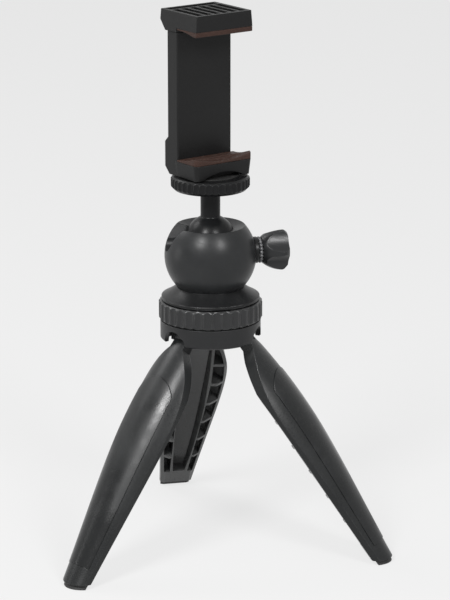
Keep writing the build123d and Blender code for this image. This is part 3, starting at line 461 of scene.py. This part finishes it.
def threaded_rod(name, radius, pitch, length):
    """A screw thread standing on the origin, cut square at both ends."""
    depth = radius * (1 - thread_root)
    bpy.ops.object.select_all(action="DESELECT")
    bpy.ops.mesh.primitive_plane_add(size=pitch, location=(radius, 0, -pitch))
    rod = bpy.context.object
    rod.name = name
    open_mesh()
    bpy.ops.mesh.merge(type="CENTER")
    bpy.ops.transform.translate(value=(-depth, 0, -pitch / 2))
    for outward, share in ((depth, thread_flank), (0, thread_crest), (-depth, thread_flank)):
        bpy.ops.mesh.extrude_vertices_move(
            TRANSFORM_OT_translate={"value": (outward, 0, share * pitch)}
        )
    close_mesh()
    settle()
    turns = rod.modifiers.new("turns", "SCREW")
    turns.axis = "Z"
    turns.screw_offset = pitch
    turns.iterations = int(length / pitch) + 4
    turns.steps = thread_sides
    turns.render_steps = thread_sides
    turns.use_merge_vertices = True
    turns.merge_threshold = pitch / 200
    bpy.ops.object.modifier_apply(modifier="turns")
    open_mesh()
    bpy.ops.mesh.remove_doubles(threshold=pitch / 100)
    # Both cuts keep just beside the thread's rows of points, so that the ends close.
    beside = pitch / 170
    for level, below in ((beside, True), (length - beside, False)):
        bpy.ops.mesh.select_all(action="SELECT")
        bpy.ops.mesh.bisect(
            plane_co=(0, 0, level), plane_no=(0, 0, 1), use_fill=True, threshold=0.0000001,
            clear_inner=below, clear_outer=not below,
        )
    close_mesh()
    face_outwards()
    bpy.ops.object.shade_smooth_by_angle(angle=radians(30))
    return rod


def pick(piece):
    """Makes a piece the active one, and the only one selected."""
    bpy.ops.object.select_all(action="DESELECT")
    piece.select_set(True)
    bpy.context.view_layer.objects.active = piece


def set_down(piece, place, lean=(0, 0, 0)):
    """Turns a piece and moves it to its place, in its mesh."""
    piece.rotation_euler = lean
    piece.location = place
    pick(piece)
    settle()


def copied(piece, name):
    """A copy of a piece with a mesh of its own."""
    twin = piece.copy()
    twin.data = piece.data.copy()
    twin.name = name
    bpy.context.scene.collection.objects.link(twin)
    return twin


stud_radius = 0.00317
stud_pitch = 0.00127
stud_low, stud_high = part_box("stud")
stud_length = stud_high.z - stud_low.z - thread_end_gap
stud_thread = threaded_rod("stud_thread", stud_radius, stud_pitch, stud_length)
set_down(stud_thread, (0, 0, stud_low.z))
cut_steel = metal("cut steel", (0.54, 0.55, 0.57), 0.24, lines=(0.2, 0.2, 1.0), depth=0.05)
stud_thread.data.materials.append(cut_steel)
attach(stud_thread, "ball")
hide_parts("stud")

# Lock screw and its bush: the side screw presses a plastic pad on the cup round the ball.
# The bush is turned brass, pressed into the housing; the screw has a fine thread.
lock_radius = 0.002495
lock_pitch = 0.0008
screw_low, screw_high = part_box("lock_screw")
lock_height = (screw_low.z + screw_high.z) / 2
lock_length = screw_high.x - screw_low.x - thread_end_gap
lock_thread = threaded_rod("lock_screw_thread", lock_radius, lock_pitch, lock_length)
set_down(lock_thread, (screw_low.x, 0, lock_height), (0, pi / 2, 0))
lock_thread.data.materials.append(cut_steel)
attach(lock_thread, "knob")
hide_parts("lock_screw")
brass = metal("turned brass", (0.62, 0.45, 0.20), 0.27, lines=(0.2, 0.2, 1.0))
finish_nodes(brass, "lock_insert", "disc_insert", "jaw_insert", "rear_insert")

# Bead ring: a grip of round beads at the knob's root, moulded with the knob.
# Each bead is nearly a ball, a little longer along the ring, half sunk in a narrow core.
bead_count = 20
bead_fill = 0.98
bead_stretch = 1.04
core_share = 0.86
core_flatness = 0.8
core_sink = 0.0005
ring_low, ring_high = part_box("bead_ring")
ring_middle = (ring_low.x + ring_high.x) / 2
bead_radius = (ring_high.x - ring_low.x) / 2 * bead_fill
bead_circle = (ring_high.z - ring_low.z) / 2 - bead_radius
bpy.ops.object.select_all(action="DESELECT")
bpy.ops.mesh.primitive_torus_add(
    major_segments=64, minor_segments=12, major_radius=bead_circle - core_sink,
    minor_radius=bead_radius * core_share, location=(ring_middle, 0, lock_height),
    rotation=(0, pi / 2, 0),
)
bead_core = bpy.context.object
open_mesh()
bpy.ops.transform.resize(value=(core_flatness, 1, 1))
close_mesh()
settle()
bpy.ops.mesh.primitive_uv_sphere_add(
    segments=20, ring_count=12, radius=bead_radius, location=(0, 0, bead_circle)
)
first_bead = bpy.context.object
open_mesh()
bpy.ops.transform.resize(value=(1, bead_stretch, 1))
close_mesh()
settle()
beads = [first_bead] + [copied(first_bead, f"bead_{number}") for number in range(1, bead_count)]
for number, bead in enumerate(beads):
    set_down(bead, (ring_middle, 0, lock_height), (2 * pi * number / bead_count, 0, 0))
for solid in beads + [bead_core]:
    solid.select_set(True)
bpy.context.view_layer.objects.active = bead_core
bpy.ops.object.join()
bead_collar = bpy.context.object
bead_collar.name = "bead_collar"
bpy.ops.object.shade_smooth()
bead_coat = coated("bead coat", (0.055, 0.056, 0.058), 0.28, shine=0.6)
bead_collar.data.materials.append(bead_coat)
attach(bead_collar, "knob")
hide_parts("bead_ring")

# Knob: moulded in glass-filled nylon over the screw's head, scooped for the fingers
# and lightly polished in the mould.
knob_plastic = coated(
    "knob plastic", (0.0095, 0.0100, 0.0105), 0.33, waviness=0.003, wear_and_glint=0.45, shine=0.32
)
finish_nodes(knob_plastic, "knob")

# Lock disc: a fluted nut that jams the clamp on the stud, with a rubber ring on top
# that grips the clamp's underside.
disc_plastic = plastic(
    "disc plastic", (0.0042, 0.0043, 0.0046), 0.36, grain=1900.0, depth=0.06, shine=0.17,
    wear_and_glint=0.7, polish=0.18,
)
finish_nodes(disc_plastic, "lock_disc")
grip_rubber = plastic(
    "grip rubber", (0.013, 0.013, 0.013), 0.62, grain=1300.0, depth=0.14, shine=0.25,
    wear_and_glint=0.1, dust=0.12,
)
finish_nodes(grip_rubber, "disc_pad")

# Legs: three thirds of the grip. Each frame is moulded with its pockets and channel
# open to the inner side, whose faces are painted paler as painted light and whose edges are
# painted lighter as painted highlight besides rubbing; a panel with a finer grain is set into
# its back, and a rubber foot is plugged into its end.
leg_black = (0.0085, 0.0092, 0.0095)
inner_painted_light_grey = (0.055, 0.056, 0.056)
leg_plastic = plastic("leg plastic", leg_black, 0.31, shine=0.28, wear_and_glint=1.0, polish=0.10)
leg_tree = leg_plastic.node_tree
leg_surface = leg_tree.nodes.new("ShaderNodeTexCoord")
level_place = leg_tree.nodes.new("ShaderNodeVectorMath")
level_place.operation = "MULTIPLY"
level_place.inputs[1].default_value = (1, 1, 0)
leg_tree.links.new(leg_surface.outputs["Object"], level_place.inputs[0])
outward = leg_tree.nodes.new("ShaderNodeVectorMath")
outward.operation = "NORMALIZE"
leg_tree.links.new(level_place.outputs["Vector"], outward.inputs[0])
facing_out = leg_tree.nodes.new("ShaderNodeVectorMath")
facing_out.operation = "DOT_PRODUCT"
leg_tree.links.new(outward.outputs["Vector"], facing_out.inputs[0])
leg_tree.links.new(leg_surface.outputs["Normal"], facing_out.inputs[1])
# The faces turned to the legs' axis are painted paler: painted light standing in for the light
# on the pockets and ribs.
inner_painted_light_share = between(leg_tree, facing_out.outputs["Value"], 0.05, -0.35)
leg_colour = tint(leg_tree, inner_painted_light_share, (*leg_black, 1), (*inner_painted_light_grey, 1))
leg_skin = next(
    node for node in leg_tree.nodes if node.type == "GROUP" and node.node_tree == moulded_skin
)
leg_tree.links.new(leg_colour, leg_skin.inputs["Colour"])
panel_plastic = plastic(
    "panel plastic", (0.0038, 0.0044, 0.0047), 0.31, grain=2300.0, depth=0.12, shine=0.36,
    wear_and_glint=0.2, flow=0.42,
)
foot_rubber = plastic(
    "foot rubber", (0.0130, 0.0130, 0.0132), 0.58, grain=1300.0, depth=0.14, wear_and_glint=0.25,
    dust=0.12,
)
for number in (1, 2, 3):
    finish_nodes(leg_plastic, f"leg_frame_{number}")
    finish_nodes(panel_plastic, f"leg_panel_{number}")
    finish_nodes(foot_rubber, f"leg_foot_{number}")

# Clamp: a column with a fixed lower jaw, closed behind by a cover, all in the same
# matt black nylon. The upper jaw is carried by a plate that slides in the column.
clamp_plastic = plastic(
    "clamp plastic", (0.0055, 0.0055, 0.0056), 0.44, depth=0.08, shine=0.19, wear_and_glint=0.45
)
finish_nodes(clamp_plastic, "clamp_body", "back_cover", "upper_jaw", "slide_plate")
finish_nodes(ground_steel, "jaw_pins")


# Cover screws: four small self-tapping screws, blackened, with crossed recesses.
# They hold the back cover on the clamp, and each has come to rest at a turn of its own.
def select_faces(piece, wanted):
    """Enters edit mode with the faces selected whose normals are wanted."""
    open_mesh("DESELECT")
    close_mesh()
    for polygon in piece.data.polygons:
        polygon.select = wanted(polygon.normal)
    bpy.ops.object.mode_set(mode="EDIT")


clamp_turn = radians(23.5)
clamp_right = Vector((cos(clamp_turn), sin(clamp_turn), 0))
clamp_back = Vector((-sin(clamp_turn), cos(clamp_turn), 0))
column_back = 0.0125
screw_radius = 0.00186
screw_depth = 0.00078
screw_rounding = 0.00022
screw_side = 0.01005
screw_margin = 0.0019
screw_turn = 0.3
recess_size = (0.0021, 0.00042, 0.0011)
recess_level = 0.0001
recess_taper = 0.45
screws_low, screws_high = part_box("cover_screws")
screw_levels = (screws_low.z + screw_margin, screws_high.z - screw_margin)
black_steel = metal("black steel", (0.075, 0.076, 0.080), 0.34)
bpy.ops.object.select_all(action="DESELECT")
bpy.ops.mesh.primitive_cylinder_add(
    vertices=48, radius=screw_radius, depth=screw_depth, location=(0, 0, -screw_depth / 2)
)
screw_head = bpy.context.object
select_faces(screw_head, lambda normal: normal.z > 0.5)
bpy.ops.mesh.bevel(offset=screw_rounding, segments=4)
close_mesh()
settle()
for turn in (0, pi / 2):
    bpy.ops.mesh.primitive_cube_add(size=1, location=(0, 0, recess_level), rotation=(0, 0, turn))
    blade = bpy.context.object
    blade.scale = recess_size
    settle()
    select_faces(blade, lambda normal: normal.z < -0.5)
    bpy.ops.transform.resize(value=(recess_taper, recess_taper, 1))
    close_mesh()
    recess = screw_head.modifiers.new("recess", "BOOLEAN")
    recess.object = blade
    recess.solver = "EXACT"
    pick(screw_head)
    bpy.ops.object.modifier_apply(modifier="recess")
    bpy.data.objects.remove(blade)
bpy.ops.object.shade_smooth_by_angle(angle=radians(32))
screw_head.data.materials.append(black_steel)
screw_places = [(side, level) for side in (-screw_side, screw_side) for level in screw_levels]
for number, (side, level) in enumerate(screw_places, 1):
    screw = copied(screw_head, f"cover_screw_{number}")
    place = clamp_back * column_back - clamp_right * side
    set_down(screw, (0, 0, 0), (0, 0, screw_turn * number))
    set_down(screw, (place.x, place.y, level), (-pi / 2, 0, clamp_turn))
    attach(screw, "clamp")
    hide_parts("cover_screws")
bpy.data.objects.remove(screw_head)

# Clamp springs: a pair of coil springs that pull the upper jaw down.
# Each is wound from hard drawn wire and stretched between the clamp and the jaw.
spring_radius = 0.0021
spring_clearance = 0.00002
spring_side = 0.006
wire_radius = 0.00034
coil_turns = 34
spring_low, spring_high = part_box("clamp_springs")
spring_centre = (spring_low + spring_high) / 2
coil_radius = spring_radius - wire_radius - spring_clearance
coil_length = spring_high.z - spring_low.z - 2 * wire_radius
bpy.ops.object.select_all(action="DESELECT")
bpy.ops.mesh.primitive_circle_add(
    vertices=10, radius=wire_radius, fill_type="NOTHING", location=(coil_radius, 0, 0),
    rotation=(pi / 2, 0, 0),
)
coil = bpy.context.object
settle()
winding = coil.modifiers.new("winding", "SCREW")
winding.axis = "Z"
winding.screw_offset = coil_length / coil_turns
winding.iterations = coil_turns
winding.steps = 20
winding.render_steps = 20
bpy.ops.object.modifier_apply(modifier="winding")
open_mesh()
bpy.ops.mesh.remove_doubles(threshold=0.000001)
bpy.ops.mesh.select_all(action="DESELECT")
bpy.ops.mesh.select_non_manifold()
bpy.ops.mesh.fill_holes(sides=12)
close_mesh()
face_outwards()
bpy.ops.object.shade_smooth()
coil.data.materials.append(spring_steel)
for name, side in (("spring_left", -spring_side), ("spring_right", spring_side)):
    spring = copied(coil, name)
    place = Vector((spring_centre.x, spring_centre.y, 0)) + clamp_right * side
    set_down(spring, (place.x, place.y, spring_low.z + wire_radius))
    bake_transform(spring)
    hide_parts("clamp_springs")
bpy.data.objects.remove(coil)


# Jaw pads: hooked grips moulded in dark reddish-brown silicone, with soft edges and a
# fine ribbing along the jaw that keeps a phone from slipping.
rib_scale = 340.0
rib_relief = 0.00022
pad_cell = 0.00028


def silicone(name, colour):
    """A matt silicone with fine ribs along the jaw and settled dust."""
    material, tree, shader = new_material(name)
    shader.inputs["Specular IOR Level"].default_value = 0.2
    surface = placed_group(
        tree, moulded_skin, Colour=(*colour, 1), Gloss=0.55, Grain=1100.0, Flow=0.25
    )
    dusted = placed_group(tree, settled_dust, Amount=0.14)
    along_jaw = tree.nodes.new("ShaderNodeMapping")
    along_jaw.inputs["Rotation"].default_value = (0, 0, -clamp_turn)
    tree.links.new(own_place(tree), along_jaw.inputs["Vector"])
    ribs = tree.nodes.new("ShaderNodeTexWave")
    ribs.bands_direction = "Y"
    ribs.inputs["Scale"].default_value = rib_scale
    ribs.inputs["Distortion"].default_value = 0.0
    tree.links.new(along_jaw.outputs["Vector"], ribs.inputs["Vector"])
    tree.links.new(surface.outputs["Colour"], dusted.inputs["Colour"])
    tree.links.new(dusted.outputs["Colour"], shader.inputs["Base Color"])
    tree.links.new(surface.outputs["Roughness"], shader.inputs["Roughness"])
    fine_grain = figure(tree, "MULTIPLY", surface.outputs["Height"], 0.25)
    relief = figure(tree, "ADD", ribs.outputs["Fac"], fine_grain)
    bumped(tree, shader, relief, rib_relief, strength=0.35)
    return material


pad_silicone = silicone("pad silicone", (0.0265, 0.0125, 0.0090))
for name, node, body in (
    ("lower_grip_pad", "lower_pad", "clamp"), ("upper_grip_pad", "upper_pad", "jaw")
):
    pad = copied(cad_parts[node], name)
    pad.parent = None
    pad.hide_render = False
    pick(pad)
    open_mesh()
    bpy.ops.mesh.remove_doubles(threshold=0.000005)
    close_mesh()
    even = pad.modifiers.new("even", "REMESH")
    even.mode = "VOXEL"
    even.voxel_size = pad_cell
    soften = pad.modifiers.new("soften", "SMOOTH")
    soften.factor = 0.5
    soften.iterations = 3
    bpy.ops.object.modifier_apply(modifier="even")
    bpy.ops.object.modifier_apply(modifier="soften")
    bpy.ops.object.shade_smooth()
    pad.data.materials.clear()
    pad.data.materials.append(pad_silicone)
    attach(pad, body)
    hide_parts(node)

# Camera: a little above the ball head and to its left, far enough back for the long lens
# that small goods are usually photographed with.
look_at = Vector((0.0066, -0.0015, 0.1200))
camera_turn = radians(-12.9)
camera_tilt = radians(15.93)
camera_distance = 1.285
lens_angle = radians(12.45)
lens = bpy.data.cameras.new("camera")
lens.sensor_fit = "VERTICAL"
lens.angle = lens_angle
camera = bpy.data.objects.new("camera", lens)
bpy.context.scene.collection.objects.link(camera)
toward_camera = Vector(
    (sin(camera_turn) * cos(camera_tilt), -cos(camera_turn) * cos(camera_tilt), sin(camera_tilt))
)
camera.location = look_at + camera_distance * toward_camera
camera.rotation_euler = (look_at - camera.location).to_track_quat("-Z", "Y").to_euler()
bpy.context.scene.camera = camera
bpy.context.scene.view_settings.view_transform = "Standard"


# Studio: two upright soft boxes by the camera, a wide one behind on the left and a low
# one beside it, with a pale room and a pale table that shows the object's soft shadow.
def soft_box(name, place, aim, width, height, power):
    """A rectangular lamp that faces a point."""
    light = bpy.data.lights.new(name, "AREA")
    light.shape = "RECTANGLE"
    light.size = width
    light.size_y = height
    light.energy = power
    lamp = bpy.data.objects.new(name, light)
    bpy.context.scene.collection.objects.link(lamp)
    lamp.location = place
    lamp.rotation_euler = (Vector(aim) - Vector(place)).to_track_quat("-Z", "Y").to_euler()


ball_middle = (0, 0, 0.14)
leg_back = (-0.04, 0, 0.09)
leg_middle = (0, 0, 0.10)
soft_box("left box", (-0.72, -0.77, 1.08), ball_middle, width=0.34, height=0.46, power=18.0)
soft_box("right box", (0.36, -1.08, 1.02), ball_middle, width=0.34, height=0.46, power=13.0)
soft_box("back box", (-0.76, 0.66, 0.95), leg_back, width=0.60, height=0.45, power=4.0)
soft_box("low box", (-1.20, 0.25, 0.10), leg_middle, width=0.30, height=0.60, power=2.0)


def seen_only(tree):
    """1 for what the camera, a reflection or clear glass sees, and 0 for the light."""
    path = tree.nodes.new("ShaderNodeLightPath")
    seen = path.outputs["Is Camera Ray"]
    for label in ("Is Glossy Ray", "Is Transmission Ray"):
        seen = figure(tree, "MAXIMUM", seen, path.outputs[label])
    return seen


pale = (0.83, 0.83, 0.83, 1)
room_light = (0.36, 0.36, 0.36, 1)
world = bpy.data.worlds.new("studio")
bpy.context.scene.world = world
world.use_nodes = True
world_tree = world.node_tree
room = world_tree.nodes["Background"]
room.inputs["Color"].default_value = room_light
shown = world_tree.nodes.new("ShaderNodeBackground")
shown.inputs["Color"].default_value = pale
lit_or_shown = world_tree.nodes.new("ShaderNodeMixShader")
world_tree.links.new(seen_only(world_tree), lit_or_shown.inputs[0])
world_tree.links.new(room.outputs[0], lit_or_shown.inputs[1])
world_tree.links.new(shown.outputs[0], lit_or_shown.inputs[2])
world_tree.links.new(lit_or_shown.outputs[0], world_tree.nodes["World Output"].inputs["Surface"])

table_radius = 6.0
table_drop = 0.0002
table_glow = (0.845, 0.845, 0.845, 1)
glow_share = 0.87
bpy.ops.object.select_all(action="DESELECT")
bpy.ops.mesh.primitive_circle_add(
    vertices=96, radius=table_radius, fill_type="NGON", location=(0, 0, -table_drop)
)
table = bpy.context.object
table.name = "table"
settle()
table_top, table_tree, matt = new_material("pale table")
matt.inputs["Base Color"].default_value = pale
matt.inputs["Roughness"].default_value = 0.9
matt.inputs["Specular IOR Level"].default_value = 0.0
bright = table_tree.nodes.new("ShaderNodeEmission")
bright.inputs["Color"].default_value = table_glow
matt_or_bright = table_tree.nodes.new("ShaderNodeMixShader")
seen_glow = figure(table_tree, "MULTIPLY", seen_only(table_tree), glow_share)
table_tree.links.new(seen_glow, matt_or_bright.inputs[0])
table_tree.links.new(matt.outputs[0], matt_or_bright.inputs[1])
table_tree.links.new(bright.outputs[0], matt_or_bright.inputs[2])
table_end = table_tree.nodes["Material Output"]
table_tree.links.new(matt_or_bright.outputs[0], table_end.inputs["Surface"])
table.data.materials.append(table_top)
